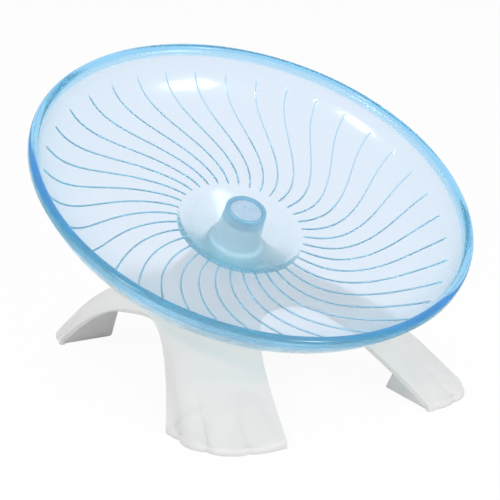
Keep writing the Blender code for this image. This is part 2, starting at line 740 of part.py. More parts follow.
def build_under_skin():
    """Block from just inside the skin down past the ground, to trim the webs."""
    bm = stand_sheet(with_noses=False)
    upward(bm)
    bmesh.ops.translate(bm, verts=bm.verts, vec=(0.0, 0.0, -SKIN / 2))
    lower = bmesh.ops.extrude_face_region(bm, geom=bm.faces[:])
    for vert in (item for item in lower["geom"] if isinstance(item, bmesh.types.BMVert)):
        vert.co.z = -OVERRUN * 2
    return make_object("under_skin", bm)


def axle_rod(name, radius, bottom, top, parent, sides=SMALL_SIDES):
    bm = bmesh.new()
    rings = [add_ring(bm, radius, level, even_angles(sides)) for level in (bottom, top)]
    join_rings(bm, rings)
    bm.faces.new(rings[0])
    bm.faces.new(rings[1])
    return make_object(name, bm, None, parent)


def build_stand(material, location, axle):
    bm = stand_sheet(with_noses=True)
    upward(bm)
    mesh = bpy.data.meshes.new("stand")
    bm.to_mesh(mesh)
    bm.free()
    mesh.shade_smooth()
    mesh.set_sharp_from_angle(angle=math.radians(45.0))
    mesh.materials.append(material)
    stand = bpy.data.objects.new("stand", mesh)
    bpy.context.collection.objects.link(stand)
    stand.location = location
    skin = stand.modifiers.new("Skin", "SOLIDIFY")
    skin.thickness = SKIN
    skin.offset = -1.0
    trim = build_under_skin()
    trim.location = location
    for name, plan in (("foot_webs", web_outline), ("foot_forks", fork_outline)):
        walls = build_walls(name, plan)
        walls.location = location
        add_boolean(walls, trim, "INTERSECT")
        add_boolean(stand, walls, "UNION")
    boss = axle_rod("column_boss", BOSS_RADIUS, BOSS_BOTTOM, -SKIN / 2, axle)
    add_boolean(stand, boss, "UNION")
    bore = axle_rod("boss_bore", BEARING_BORE_RADIUS, BOSS_BOTTOM - OVERRUN, OVERRUN, axle)
    add_boolean(stand, bore, "DIFFERENCE")
    bm = bmesh.new()
    bmesh.ops.create_cube(bm, size=1.0)
    below = make_object("below_ground", bm)
    below.scale = (DOWNHILL_HALF_LENGTH * 3, DOWNHILL_HALF_LENGTH * 3, OVERRUN * 4)
    below.location = location + Vector((0.0, 0.0, -OVERRUN * 2))
    add_boolean(stand, below, "DIFFERENCE")
    return stand


def stand_offset():
    """Where the stand's middle lies, so that the whole wheel is centred on the origin."""
    rim_x = RIM_LEVEL * math.sin(AXLE_TILT) - COLUMN_TOP_UPHILL
    lip_x = max(radius * math.cos(AXLE_TILT) + (level - RIM_LEVEL) * math.sin(AXLE_TILT)
                for radius, level in lip_profile())
    return (UPHILL_HALF_LENGTH - rim_x - lip_x) / 2


def main():
    clear_scene()
    milky = make_material("milky_plastic", (0.80, 0.82, 0.84), 0.42)
    blue = make_material("clear_blue_plastic", (0.30, 0.62, 0.86), 0.12)
    pale = make_material("pale_cap_plastic", (0.72, 0.76, 0.80), 0.35)
    slippery = make_material("slippery_plastic", (0.90, 0.90, 0.88), 0.5)
    steel = make_material("steel", (0.60, 0.60, 0.62), 0.3, 1.0)
    middle = Vector((stand_offset(), 0.0, 0.0))
    column_top = middle + Vector((-COLUMN_TOP_UPHILL, 0.0, COLUMN_TOP_HEIGHT))
    axle = make_empty("axle", column_top, AXLE_TILT)
    build_stand(milky, middle, axle)
    build_dish(blue, axle)
    build_hub_cap(pale, axle)
    build_bearing(steel, slippery, axle, axle, axle)
    build_axle(steel, slippery, axle, axle)


main()
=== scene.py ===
"""Looks of a tilted pet exercise wheel: a clear blue running dish on a milky four-legged stand.

The running dish, its hub cap and the stand are moulded afresh here in fine meshes around the
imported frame, and the bearing, bolt, nut and washers keep their shapes and get their finishes.
"""

import json
import math

import bmesh
import bpy
from bpy.props import FloatProperty, FloatVectorProperty, IntProperty, PointerProperty
from mathutils import Matrix, Vector
from mathutils.bvhtree import BVHTree


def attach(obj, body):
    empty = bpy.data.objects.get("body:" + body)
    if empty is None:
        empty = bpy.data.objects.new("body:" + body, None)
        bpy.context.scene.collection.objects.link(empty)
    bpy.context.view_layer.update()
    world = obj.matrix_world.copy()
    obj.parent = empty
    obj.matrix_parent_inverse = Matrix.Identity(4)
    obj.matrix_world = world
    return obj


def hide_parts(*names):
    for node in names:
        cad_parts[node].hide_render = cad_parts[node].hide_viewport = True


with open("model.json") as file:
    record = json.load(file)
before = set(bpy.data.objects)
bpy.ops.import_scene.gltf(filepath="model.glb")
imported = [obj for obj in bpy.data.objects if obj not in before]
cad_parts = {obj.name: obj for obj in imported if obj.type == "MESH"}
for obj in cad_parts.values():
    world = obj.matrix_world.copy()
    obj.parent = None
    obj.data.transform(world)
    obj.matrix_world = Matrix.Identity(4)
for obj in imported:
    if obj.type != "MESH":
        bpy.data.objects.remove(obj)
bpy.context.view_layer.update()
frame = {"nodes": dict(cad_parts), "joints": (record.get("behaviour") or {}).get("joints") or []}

bl_info = {
    "name": "Tilted Pet Wheel",
    "version": (1, 0, 0),
    "blender": (4, 5, 0),
    "location": "View3D > Sidebar > Pet Wheel",
    "description": "Moulds a clear running dish and its milky stand around the packed wheel",
    "category": "Object",
}

# Placing, read from the frame: the axle's line and the top of the stand's column
SPIN = next(joint for joint in frame["joints"] if joint["name"] == "dish_spin")
AXLE_DIRECTION = Vector(SPIN["axis"]).normalized()
AXLE_TILT = math.acos(AXLE_DIRECTION.z)
JOINT_LEVEL = 0.0093
COLUMN_TOP = Vector(SPIN["pos_m"]) - AXLE_DIRECTION * JOINT_LEVEL
AXLE_FRAME = Matrix.Translation(COLUMN_TOP) @ Matrix.Rotation(AXLE_TILT, 4, "Y")

# Middle of the stand's footprint, downhill of the column's top and uphill of the wheel's middle
STAND_MIDDLE = Vector((COLUMN_TOP.x + 0.0058, 0.0, 0.0))


def length(description, default, high=1.0):
    return FloatProperty(description=description, default=default, min=0.0, max=high,
                         unit="LENGTH", subtype="DISTANCE", precision=4)


def angle(description, default):
    return FloatProperty(description=description, default=default, unit="ROTATION", subtype="ANGLE")


def share(description, default):
    return FloatProperty(description=description, default=default, min=0.0, max=1.0, subtype="FACTOR")


def number(description, default):
    return FloatProperty(description=description, default=default, min=0.0, max=1000.0)


def colour(description, default):
    return FloatVectorProperty(description=description, default=default, size=3,
                               min=0.0, max=1.0, subtype="COLOR")


class DishSizes(bpy.types.PropertyGroup):
    """Sizes of the running dish; levels are above the top of the stand's column."""

    rim_radius: length("Outer radius of the dish over its lip", 0.0897)
    rim_level: length("Level of the rim's plane", 0.0386)
    floor_level: length("Level of the flat part of the running floor", 0.0122)
    floor_radius: length("Where the floor starts to curve up", 0.0360)
    wall: length("Thickness of the moulding", 0.0016)
    lip_width: length("Width of the rolled lip", 0.0036)
    lip_height: length("Height of the rolled lip", 0.0036)
    lip_overhang: length("How far the lip hangs below the rim's plane", 0.0022)
    rib_count: IntProperty(description="Number of running ribs", default=36, min=3)
    rib_start: length("Radius at which the ribs start", 0.0262)
    rib_end: length("Radius at which the ribs end", 0.0826)
    rib_turn: angle("Where the first rib starts", math.radians(4.65))
    rib_sweep: angle("How far each rib turns on its way out", math.radians(26.2))
    rib_width: length("Width of a rib at its foot", 0.0009)
    rib_height: length("How far a rib stands up", 0.0006)
    well_radius: length("Radius of the well round the hub", 0.0258)
    well_level: length("Level of the well's floor", 0.0048)
    seat_level: length("Level of the hub's underside", 0.0012)
    hub_level: length("Level of the hub's top", 0.0213)
    hub_top_radius: length("Radius of the hub at its top", 0.0084)
    hub_base_radius: length("Radius of the hub at its foot", 0.0096)
    pocket_radius: length("Radius of the bore for bearing and cap", 0.0068)
    neck_radius: length("Radius of the bore between bearing and cap", 0.0047)
    neck_low: length("Level of the neck's underside", 0.0142)
    neck_high: length("Level of the ledge under the cap", 0.0191)
    frost_level: length("Level up to which the hub is frosted", 0.0160)


class CapSizes(bpy.types.PropertyGroup):
    """Sizes of the hub's cap."""

    radius: length("Radius of the cap", 0.0065)
    low: length("Level of the cap's underside", 0.0194)
    high: length("Level of the cap's top", 0.0204)
    dimple: length("Radius of the moulding mark in the cap", 0.0012)


class StandSizes(bpy.types.PropertyGroup):
    """Sizes of the four-legged stand."""

    column_radius: length("Radius of the column's leaning top", 0.0130)
    skin: length("Thickness of the moulding", 0.0021)
    bore_radius: length("Radius of the spindle's hole", 0.0022)
    boss_radius: length("Radius of the boss round the spindle", 0.0060)
    boss_length: length("Length of the boss under the column's top", 0.0100)
    end_reach: length("How far out the arches under the ends begin", 0.0323)
    end_height: length("Height of the arches under the ends", 0.0315)
    side_reach: length("How far out the arches under the sides begin", 0.0426)
    side_height: length("Height of the arches under the sides", 0.0260)
    crown: length("How much a leg's back rises between its edges", 0.0030)
    edge_rise: length("Rise of the skin over an arch's crown", 0.0009)
    downhill_length: length("Middle to the ends of the downhill toes", 0.0850)
    uphill_length: length("Middle to the ends of the uphill toes", 0.0804)
    downhill_width: length("Middle to the sides of the downhill toes", 0.0618)
    uphill_width: length("Middle to the sides of the uphill toes", 0.0580)
    corner_radius: length("Radius of a foot's outer corner", 0.0236)
    end_edge: length("Where a foot's end begins", 0.0315)
    downhill_edge: length("Where a downhill foot's side begins", 0.0515)
    uphill_edge: length("Where an uphill foot's side begins", 0.0560)
    toe_height: length("Height of the toes' upright front", 0.0026)
    toe_rounding: length("Rounding over the toes' front edge", 0.0009)
    notch_depth: length("Depth of the notches between toes", 0.0013)
    groove_depth: length("Depth of the grooves that run up from the notches", 0.0006)
    edge_rounding: length("Rounding along the arches' edges", 0.0008)
    web_wall: length("Thickness of the walls under the feet", 0.0020)
    heel_x: length("Where the bent wall's heel is, along the slope", 0.0554)
    heel_y: length("Where the bent wall's heel is, across the slope", 0.0329)
    heel_radius: length("Outer radius of the bent wall's heel", 0.0028)


class WheelColours(bpy.types.PropertyGroup):
    """Colours and finishes."""

    dish_pale: colour("Tint of the thin clear wall", (0.858, 0.876, 0.98))
    # Painted deeper blue that stands in for light led along the lip, ribs and hub
    dish_painted_deep_tint: colour("Tint where light is led along the plastic", (0.08, 0.58, 0.98))
    dish_shade: colour("Tint of the light under the dish", (1.0, 0.965, 0.955))
    dish_clearness: share("Share of light that the dish lets through", 0.95)
    dish_depth: colour("Colour that is left deep in the plastic", (0.20, 0.87, 0.972))
    dish_frost: colour("Milky tone of the hub's lower part", (0.56, 0.72, 0.84))
    frost_clearness: share("Share of light through the hub's lower part", 0.35)
    dish_density: number("How fast the plastic takes up light, for each metre", 70.0)
    stand_light: colour("Lighter tone of the milky plastic", (0.745, 0.742, 0.742))
    stand_dark: colour("Darker tone of the milky plastic", (0.70, 0.697, 0.697))
    cap: colour("Frosted plastic of the hub's cap", (0.31, 0.50, 0.68))
    steel: colour("Turned steel of bolt, nut and bearing", (0.78, 0.79, 0.80))
    nylon: colour("Slippery plastic of washer, bush and cage", (0.86, 0.85, 0.81))


class StudioSettings(bpy.types.PropertyGroup):
    """Floor, lights and camera."""

    lens: number("Focal length in millimetres on a 36 mm frame", 85.55)
    floor_size: length("Side of the floor", 6.0, high=20.0)
    floor_glow: share("Share of plain white in the floor as the camera sees it", 0.93)
    left_power: number("Power of the soft lamp left of the camera", 3.0)
    right_power: number("Power of the soft lamp right of the camera", 3.0)
    world_strength: number("Strength of the light from all round", 0.76)


# Small helpers

ROUNDING_STEPS = 5


def mix(start, end, part):
    return start + (end - start) * part


def smooth_step(part):
    part = min(max(part, 0.0), 1.0)
    return part * part * (3 - 2 * part)


def curve_points(start, end, bend, steps):
    """Cubic curve from start, which it leaves level, to end: all its points but the first."""
    first, second, rise = bend
    points = []
    for step in range(1, steps + 1):
        t = step / steps
        near = 3 * (1 - t) * (1 - t) * t
        far = 3 * (1 - t) * t * t
        across = near * first + far * second + t ** 3
        points.append((mix(start[0], end[0], across), mix(start[1], end[1], far * rise + t ** 3)))
    return points


def rounded_outline(corners):
    """Closed outline of (radius, level, rounding) corners, with an arc at each rounding above zero."""
    outline = []
    count = len(corners)
    for index, (radius, level, rounding) in enumerate(corners):
        here = Vector((radius, level))
        if rounding <= 0.0:
            outline.append((radius, level))
            continue
        before = (Vector(corners[index - 1][:2]) - here).normalized()
        after = (Vector(corners[(index + 1) % count][:2]) - here).normalized()
        for step in range(ROUNDING_STEPS + 1):
            t = step / ROUNDING_STEPS
            point = here + before * rounding * (1 - t) ** 2 + after * rounding * t ** 2
            outline.append((point.x, point.y))
    return outline


def even_turns(count):
    return [2 * math.pi * step / count for step in range(count)]


def add_ring(bm, radius, level, turns):
    return [bm.verts.new((radius * math.cos(turn), radius * math.sin(turn), level)) for turn in turns]


def join_rings(bm, rings, closed=False):
    pairs = list(zip(rings, rings[1:]))
    if closed:
        pairs.append((rings[-1], rings[0]))
    for first, second in pairs:
        for index in range(len(first)):
            after = (index + 1) % len(first)
            bm.faces.new((first[index], first[after], second[after], second[index]))


def add_object(name, data):
    piece = bpy.data.objects.new(name, data)
    bpy.context.scene.collection.objects.link(piece)
    return piece


def add_mesh_object(name, bm, material):
    mesh = bpy.data.meshes.new(name)
    bm.to_mesh(mesh)
    bm.free()
    mesh.materials.append(material)
    return add_object(name, mesh)


def make_piece(name, bm, material, body, node, place, sharp=math.radians(40)):
    """Object from a mesh, smooth but for its sharp edges, riding on a body in place of a CAD node."""
    bmesh.ops.recalc_face_normals(bm, faces=bm.faces)
    bm.transform(place)
    piece = add_mesh_object(name, bm, material)
    piece.data.shade_smooth()
    piece.data.set_sharp_from_angle(angle=sharp)
    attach(piece, body)
    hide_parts(node)


# Finishes

NONE_TO_ALL = (0.0, 1.0)
NOISE_SPAN = (0.3, 0.7)


def new_material(name):
    material = bpy.data.materials.new(name)
    material.use_nodes = True
    return material, material.node_tree, material.node_tree.nodes["Principled BSDF"]


def set_inputs(tree, node, inputs):
    """Links an input where its value is another node's output, and else sets it."""
    for key, value in inputs.items():
        socket = node.inputs[key]
        if isinstance(value, bpy.types.NodeSocket):
            tree.links.new(value, socket)
        else:
            socket.default_value = (*value, 1.0) if socket.type == "RGBA" else value


def add_node(tree, kind, inputs, output, **settings):
    """Output of a new node with these inputs."""
    node = tree.nodes.new("ShaderNode" + kind)
    for name, value in settings.items():
        setattr(node, name, value)
    set_inputs(tree, node, inputs)
    return node.outputs[output]


def add_noise(tree, place, scale, detail):
    return add_node(tree, "TexNoise", {"Vector": place, "Scale": scale, "Detail": detail}, "Fac")


def add_attribute(tree, name):
    return add_node(tree, "Attribute", {}, "Fac", attribute_name=name)


def add_math(tree, operation, first, second):
    return add_node(tree, "Math", {0: first, 1: second}, "Value", operation=operation)


def add_range(tree, value, source, target):
    """Value taken from the (low, high) of source to those of target."""
    return add_node(tree, "MapRange", {
        "Value": value, "From Min": source[0], "From Max": source[1],
        "To Min": target[0], "To Max": target[1]}, "Result")


def add_colour_mix(tree, factor, first, second):
    inputs = {"Factor": factor, "A": first, "B": second}
    return add_node(tree, "Mix", inputs, "Result", data_type="RGBA")


def add_shader_mix(tree, factor, first, second):
    return add_node(tree, "MixShader", {"Fac": factor, 1: first, 2: second}, "Shader")


def add_bump(tree, height, distance, strength, under=None):
    inputs = {"Distance": distance, "Strength": strength, "Height": height}
    if under is not None:
        inputs["Normal"] = under
    return add_node(tree, "Bump", inputs, "Normal")


def object_coordinates(tree):
    return add_node(tree, "TexCoord", {}, "Object")


def clear_blue_plastic(colours):
    """Clear tinted plastic: pale through its wall, with a deeper blue painted in where light is led
    along it, over the real absorption.
    """
    material, tree, shader = new_material("clear_blue_plastic")
    place = object_coordinates(tree)
    # A deeper blue is painted into the base colour where light would be led along the plastic
    depth, frost, haze = [add_attribute(tree, name) for name in ("painted_light_depth", "frost", "haze")]
    tint = add_colour_mix(tree, depth, colours.dish_pale, colours.dish_painted_deep_tint)
    clearness = (colours.dish_clearness, colours.frost_clearness)
    flow = add_range(tree, add_noise(tree, place, 60.0, 2.0), NOISE_SPAN, (0.14, 0.20))
    set_inputs(tree, shader, {
        "Base Color": add_colour_mix(tree, frost, tint, colours.dish_frost),
        "Transmission Weight": add_range(tree, frost, NONE_TO_ALL, clearness),
        "Roughness": add_math(tree, "ADD", haze, flow),
        "Normal": add_bump(tree, add_noise(tree, place, 35.0, 1.0), 0.00006, 0.6),
        "IOR": 1.45,
    })
    taken_up = {"Color": colours.dish_depth, "Density": colours.dish_density}
    set_inputs(tree, tree.nodes["Material Output"], {
        "Surface": let_lamps_through(tree, shader.outputs["BSDF"], colours.dish_shade),
        "Volume": add_node(tree, "VolumeAbsorption", taken_up, "Volume"),
    })
    return material


def let_lamps_through(tree, seen, shade):
    """Light falls through the clear plastic on what is under it, with only a pale shade."""
    through = add_node(tree, "BsdfTransparent", {"Color": shade}, "BSDF")
    path = tree.nodes.new("ShaderNodeLightPath")
    for ray in ("Is Shadow Ray", "Is Diffuse Ray"):
        seen = add_shader_mix(tree, path.outputs[ray], seen, through)
    return seen


def milky_plastic(colours):
    """Milky white moulding with a satin skin and faint clouds in it."""
    material, tree, shader = new_material("milky_plastic")
    place = object_coordinates(tree)
    clouds = add_range(tree, add_noise(tree, place, 28.0, 3.0), (0.35, 0.68), (1.0, 0.0))
    satin = add_noise(tree, place, 120.0, 2.0)
    sink = add_bump(tree, add_noise(tree, place, 45.0, 1.0), 0.0003, 0.35)
    set_inputs(tree, shader, {
        "Base Color": add_colour_mix(tree, clouds, colours.stand_light, colours.stand_dark),
        "Roughness": add_range(tree, satin, NOISE_SPAN, (0.38, 0.50)),
        "Normal": add_bump(tree, add_noise(tree, place, 2400.0, 2.0), 0.00002, 0.5, under=sink),
        "Subsurface Weight": 0.25,
        "Subsurface Scale": 0.004,
        "Subsurface Radius": (1.0, 1.0, 1.0),
        "IOR": 1.46,
    })
    return material


def mottled(name, tones, mottle, roughness, grain, bump, more):
    """Two tones and a roughness that follow one soft mottle, with a fine grain.

    The mottle and the grain are each a noise's scale and detail, and the bump is the grain's
    depth and strength.
    """
    material, tree, shader = new_material(name)
    place = object_coordinates(tree)
    patches = add_noise(tree, place, *mottle)
    set_inputs(tree, shader, {
        "Base Color": add_colour_mix(tree, patches, *tones),
        "Roughness": add_range(tree, patches, NOISE_SPAN, roughness),
        "Normal": add_bump(tree, add_noise(tree, place, *grain), *bump),
        **more,
    })
    return material


def frosted_cap_plastic(colours):
    """Frosted plastic with a soft mottle."""
    paler = tuple(mix(value, 1.0, 0.3) for value in colours.cap)
    return mottled("frosted_cap_plastic", (colours.cap, paler), mottle=(300.0, 2.0),
                   roughness=(0.25, 0.4), grain=(3000.0, 2.0), bump=(0.00001, 0.4),
                   more={"Subsurface Weight": 0.2, "Subsurface Scale": 0.002})


def turned_steel(colours):
    """Steel with fine marks from the lathe and a little dullness."""
    darker = tuple(value * 0.8 for value in colours.steel)
    return mottled("turned_steel", (colours.steel, darker), mottle=(400.0, 3.0),
                   roughness=(0.18, 0.34), grain=(5000.0, 1.0), bump=(0.000005, 0.5),
                   more={"Metallic": 1.0})


def slippery_nylon(colours):
    """Waxy off-white plastic."""
    yellowed = (colours.nylon[0], colours.nylon[1] * 0.97, colours.nylon[2] * 0.9)
    return mottled("slippery_nylon", (colours.nylon, yellowed), mottle=(250.0, 2.0),
                   roughness=(0.4, 0.55), grain=(2500.0, 2.0), bump=(0.00001, 0.5), more={})


# Running dish

# A rib's section: where it has points across its width, how round it is, and its soft ends
RIB_STEPS = (-1.0, -0.8, -0.55, -0.28, 0.0, 0.28, 0.55, 0.8, 1.0)
GAP_STEPS = (0.12, 0.34, 0.58, 0.82)
RIB_ROUNDNESS = 1.4
RIB_TAPER = 0.0022
TAPER_STEPS = (0.0, 0.06, 0.2, 0.45, 0.75)

# The bowl's wall and the well's slope: how far along, how high and in how many steps they bend
FLAT_STEPS = 11
WALL_BEND = (0.526, 1.0, 0.51)
WALL_STEPS = 44
WELL_BEND = (0.15, 0.85, 1.0)
WELL_STEPS = 26
WELL_FLOOR_WIDTH = 0.0018

# The lip: its rounded crown, its straight outside and the hem under it
CROWN_STEPS = 18
SKIRT_STEPS = (0.0, 0.35, 0.7)
HEM_ROUNDING = 0.0006
HEM_STEPS = 5
UNDER_LIP_GAP = 0.0003
UNDER_FLOOR_STEPS = 8

# Steps down the outside of the hub, close together where its frosting ends
HUB_STEPS = (0.12, 0.2, 0.26, 0.32, 0.4, 0.5, 0.65, 0.8)

# Painted deeper blue for light led along the plastic, and how milky and hazy each area is, from 0 to 1
PAINTED_LIP_DEPTH = 0.6
PAINTED_RIB_DEPTH = 0.8
PAINTED_HUB_BAND_DEPTH = 0.45
PAINTED_HUB_RING_DEPTH = 0.55
RIB_FROST = 0.15
HUB_BAND_CLEARING = 0.4
RIB_HAZE = 0.2
WELL_HAZE = 0.08

# Over what distance those areas of the hub and the well blend into the next
HUB_BLEND = 0.0012
WELL_BLEND = 0.004


def rib_angle(dish, radius):
    part = (radius - dish.rib_start) / (dish.rib_end - dish.rib_start)
    return dish.rib_turn + dish.rib_sweep * smooth_step(part)


def rib_columns(dish, radius):
    """Angles round one ring with the part of a rib's height at each: close together on the ribs."""
    pitch = 2 * math.pi / dish.rib_count
    half = dish.rib_width / 2 / max(radius, dish.rib_start)
    start = rib_angle(dish, radius)
    columns = []
    for index in range(dish.rib_count):
        centre = start + pitch * index
        for step in RIB_STEPS:
            part = math.cos(step * math.pi / 2) ** RIB_ROUNDNESS if abs(step) < 1 else 0.0
            columns.append((centre + half * step, part))
        for step in GAP_STEPS:
            columns.append((centre + mix(half, pitch - half, step), 0.0))
    return columns


def rib_rise(dish, radius):
    """Height of the ribs at a radius: full along them, and rounded off at their two ends."""
    from_end = min(radius - dish.rib_start, dish.rib_end - radius)
    if from_end <= 0.0:
        return 0.0
    part = min(from_end / RIB_TAPER, 1.0)
    return dish.rib_height * math.sqrt(1 - (1 - part) ** 2)


def floor_profile(dish):
    """Inside of the dish from the well's edge to the lip, with points close together where ribs end."""
    steps = range(1, FLAT_STEPS + 1)
    flat = [mix(dish.well_radius, dish.floor_radius, step / FLAT_STEPS) for step in steps]
    ends = [dish.rib_start + RIB_TAPER * part for part in TAPER_STEPS]
    radii = sorted(set(round(radius, 6) for radius in flat + ends))
    points = [(radius, dish.floor_level) for radius in radii]
    lip_foot = (dish.rim_radius - dish.lip_width, dish.rim_level)
    return points + curve_points((dish.floor_radius, dish.floor_level), lip_foot, WALL_BEND, WALL_STEPS)


def lip_outline(dish):
    """Over the rolled lip, from the inside of the wall round to its outside."""
    crown = dish.lip_height - dish.lip_overhang
    middle = dish.rim_radius - dish.lip_width / 2
    points = []
    for step in range(1, CROWN_STEPS):
        turn = math.pi * (1 - step / CROWN_STEPS)
        points.append((middle + math.cos(turn) * dish.lip_width / 2,
                       dish.rim_level + math.sin(turn) * crown))
    low = dish.rim_level - dish.lip_overhang
    points += [(dish.rim_radius, mix(dish.rim_level, low, part)) for part in SKIRT_STEPS]
    for step in range(1, HEM_STEPS + 1):
        turn = math.pi / 2 * step / HEM_STEPS
        points.append((dish.rim_radius - HEM_ROUNDING * (1 - math.cos(turn)),
                       low + HEM_ROUNDING * (1 - math.sin(turn))))
    under_lip = mix(dish.rim_radius - dish.lip_width + dish.wall, dish.rim_radius, 0.5)
    points.append((under_lip, dish.rim_level - dish.lip_height))
    return points


def under_profile(dish):
    """Outside of the dish from under the lip down to the well."""
    wall_end = (dish.rim_radius - dish.lip_width + dish.wall, dish.rim_level - dish.wall)
    start = (dish.floor_radius, dish.floor_level - dish.wall)
    highest = dish.rim_level - dish.lip_height - UNDER_LIP_GAP
    points = curve_points(start, wall_end, WALL_BEND, WALL_STEPS)
    points = [point for point in reversed(points) if point[1] < highest]
    edge = dish.well_radius + dish.wall
    return points + [(mix(dish.floor_radius, edge, step / UNDER_FLOOR_STEPS), start[1])
                     for step in range(UNDER_FLOOR_STEPS)]


def well_floor_edge(dish):
    return dish.hub_base_radius + WELL_FLOOR_WIDTH


def well_profile(dish, low, outer_radius, high):
    """Softly up from the well's floor beside the hub to the running floor."""
    return curve_points((well_floor_edge(dish), low), (outer_radius, high), WELL_BEND, WELL_STEPS)


def hub_outline(dish):
    """Through the hub's bore from below, over its top and down its outside to the well's floor."""
    corners = [
        (well_floor_edge(dish), dish.seat_level, 0.0),
        (dish.pocket_radius, dish.seat_level, 0.0003),
        (dish.pocket_radius, dish.neck_low, 0.0),
        (dish.neck_radius, dish.neck_low, 0.0002),
        (dish.neck_radius, dish.neck_high, 0.0002),
        (dish.pocket_radius, dish.neck_high, 0.0),
        (dish.pocket_radius, dish.hub_level, 0.0005),
        (dish.hub_top_radius, dish.hub_level, 0.0006),
    ]
    for part in HUB_STEPS:
        corners.append((mix(dish.hub_top_radius, dish.hub_base_radius, part),
                        mix(dish.hub_level, dish.well_level, part), 0.0))
    corners.append((dish.hub_base_radius, dish.well_level, 0.0016))
    corners.append((well_floor_edge(dish), dish.well_level, 0.0))
    return rounded_outline(corners)


def mould_dish(dish, material):
    """One closed moulding, whose painted deeper tint, milkiness and haze are kept at its points."""
    bm = bmesh.new()
    depth = bm.verts.layers.float.new("painted_light_depth")
    frost = bm.verts.layers.float.new("frost")
    haze = bm.verts.layers.float.new("haze")
    inner_well = well_profile(dish, dish.well_level, dish.well_radius, dish.floor_level)
    outer_well = well_profile(dish, dish.seat_level, dish.well_radius + dish.wall,
                              dish.floor_level - dish.wall)
    rings = []

    def plain(level):
        return 0.0

    # Painted deeper blue over the whole lip, for light led round inside it
    def painted_lip_depth(level):
        return PAINTED_LIP_DEPTH

    def in_band(level):
        return smooth_step((level - dish.frost_level) / HUB_BLEND + 0.5)

    # Painted deeper blue in the hub's band and ring, for light led along the tube's wall
    def painted_hub_depth(level):
        in_ring = smooth_step((level - dish.neck_high) / HUB_BLEND)
        return PAINTED_HUB_BAND_DEPTH * in_band(level) + PAINTED_HUB_RING_DEPTH * in_ring

    def hub_frost(level):
        return 1 - HUB_BAND_CLEARING * in_band(level)

    def well_haze(radius):
        return WELL_HAZE * (1 - smooth_step((radius - dish.well_radius) / WELL_BLEND + 1))

    def add_profile(points, deep=plain, milky=plain, ribbed=False):
        for index, (radius, level) in enumerate(points):
            after = points[min(index + 1, len(points) - 1)]
            before = points[max(index - 1, 0)]
            slope = Vector((after[0] - before[0], after[1] - before[1])).normalized()
            rise = rib_rise(dish, radius) if ribbed else 0.0
            ring = []
            for turn, part in rib_columns(dish, radius):
                up = rise * part
                on_rib = part if rise > 0.0 else 0.0
                out = radius - slope.y * up
                vert = bm.verts.new((out * math.cos(turn), out * math.sin(turn), level + slope.x * up))
                # Painted deeper blue on lip, hub and ribs, for light led along them
                vert[depth] = max(deep(level), PAINTED_RIB_DEPTH * on_rib)
                vert[frost] = max(milky(level), RIB_FROST * on_rib)
                vert[haze] = max(well_haze(radius), RIB_HAZE * on_rib)
                ring.append(vert)
            rings.append(ring)

    add_profile(hub_outline(dish), deep=painted_hub_depth, milky=hub_frost)
    add_profile(inner_well + floor_profile(dish), ribbed=True)
    add_profile(lip_outline(dish), deep=painted_lip_depth)
    add_profile(under_profile(dish))
    add_profile(list(reversed(outer_well)))
    join_rings(bm, rings, closed=True)
    make_piece("clear_running_dish", bm, material, "dish", "running_dish",
               AXLE_FRAME)


# The cap: points under it as parts of its radius, its raised rim as insets and drops, and its
# moulding mark as parts of the dimple and drops
CAP_SIDES = 96
CAP_EDGE = 0.0002
CAP_UNDER = (0.1, 0.5)
CAP_RIM = ((0.0, CAP_EDGE), (CAP_EDGE, 0.0), (0.0007, 0.0), (0.0009, 0.0002), (0.0030, 0.0003))
CAP_MARK = ((1.3, 0.0003), (1.0, 0.00015), (0.6, 0.0001), (0.3, 0.0003))


def mould_cap(cap, material):
    """Slightly hollow disc with a raised edge and the mark of its moulding."""
    bm = bmesh.new()
    profile = [(cap.radius * part, cap.low) for part in CAP_UNDER]
    profile += [(cap.radius - CAP_EDGE, cap.low), (cap.radius, cap.low + CAP_EDGE)]
    profile += [(cap.radius - inset, cap.high - drop) for inset, drop in CAP_RIM]
    profile += [(cap.dimple * part, cap.high - drop) for part, drop in CAP_MARK]
    turns = even_turns(CAP_SIDES)
    rings = [add_ring(bm, radius, level, turns) for radius, level in profile]
    join_rings(bm, rings)
    bm.faces.new(rings[-1])
    bm.faces.new(rings[0])
    make_piece("hub_cap_disc", bm, material, "dish", "hub_cap", AXLE_FRAME)


# Stand

# Where the notches are across a foot, how round the toes are, how they fall to the ground (parts
# of their height with parts of their front's rounding), and where each toe has points across it
TOE_SHARES = (0.273, 0.570, 0.855)
TOE_ROUNDNESS = 0.80
TOE_NOSES = ((0.16, 0.52), (0.31, 0.25), (0.43, 0.08), (0.55, 0.0), (0.8, 0.0), (1.0, 0.0))
TOE_STEPS = (0.0, 0.05, 0.11, 0.18, 0.28, 0.42, 0.58, 0.72, 0.82, 0.89, 0.95)
TOE_END_POWER = 6
GROOVE_START = 0.70

# How the arches' edges run out and down, for the downhill (1) and uphill (-1) legs
END_POWERS = {1: (2.60, 2.65), -1: (3.20, 4.00)}
SIDE_POWERS = {1: (1.00, 1.57, 1.55), -1: (1.05, 1.35, 2.15)}

# Rows of points from the column's top down a leg
COLUMN_TOP_STEPS = (0.4, 0.8)
COLUMN_TOP_EDGE = 0.0006
FLARE_POWER = 1.35
FLARE_START = 0.012
FLARE_SPACING = 1.3
FLARE_STEPS = 12
LEG_SPACING = 1.25
LEG_STEPS = 34
SHOULDER_ROW = len(COLUMN_TOP_STEPS) + 2 + FLARE_STEPS
TOE_ROW = SHOULDER_ROW + LEG_STEPS

